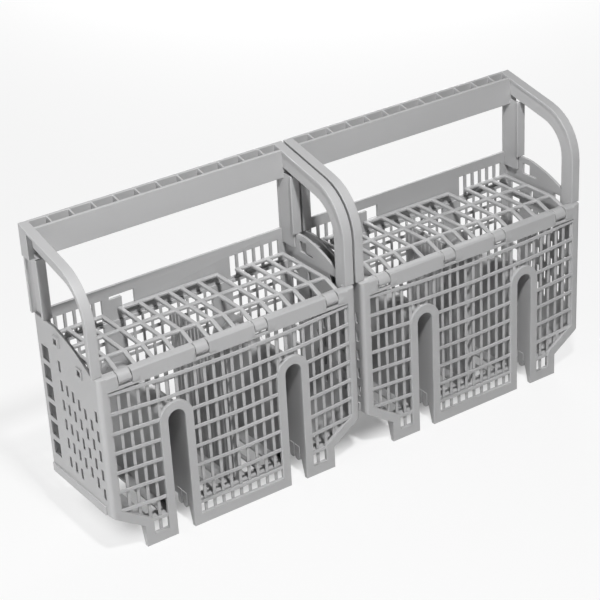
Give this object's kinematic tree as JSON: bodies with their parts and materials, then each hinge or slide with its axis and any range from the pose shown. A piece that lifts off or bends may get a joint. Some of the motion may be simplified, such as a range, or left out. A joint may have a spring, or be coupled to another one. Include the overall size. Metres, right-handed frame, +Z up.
{
  "type": "dishwasher cutlery basket",
  "caption": "Grey moulded dishwasher cutlery basket in joined halves, with grille walls, hinged grid lids and carrying handles.",
  "frame": {"origin": "under the middle of the whole basket, on the plane of the feet", "axes": "+X along the length to the right half, +Y from the front wall to the back wall, +Z up"},
  "size_m": [0.493, 0.1, 0.257],
  "materials": {
    "grey_plastic": "satin moulded polypropylene"
  },
  "bodies": {
    "frame": {"left_basket": "grey_plastic", "right_basket": "grey_plastic", "left_handle": "grey_plastic", "right_handle": "grey_plastic"},
    "left_cover": {"left_lid": "grey_plastic"},
    "right_cover": {"right_lid": "grey_plastic"}
  },
  "joints": [
    {"name": "left_lid_hinge", "type": "hinge", "parent": "frame", "child": "left_cover", "pos_m": [-0.1241, -0.0445, 0.1554], "axis": [1, 0, 0], "range_deg": [0, 110]},
    {"name": "right_lid_hinge", "type": "hinge", "parent": "frame", "child": "right_cover", "pos_m": [0.1219, -0.0445, 0.1554], "axis": [1, 0, 0], "range_deg": [0, 110]}
  ]
}
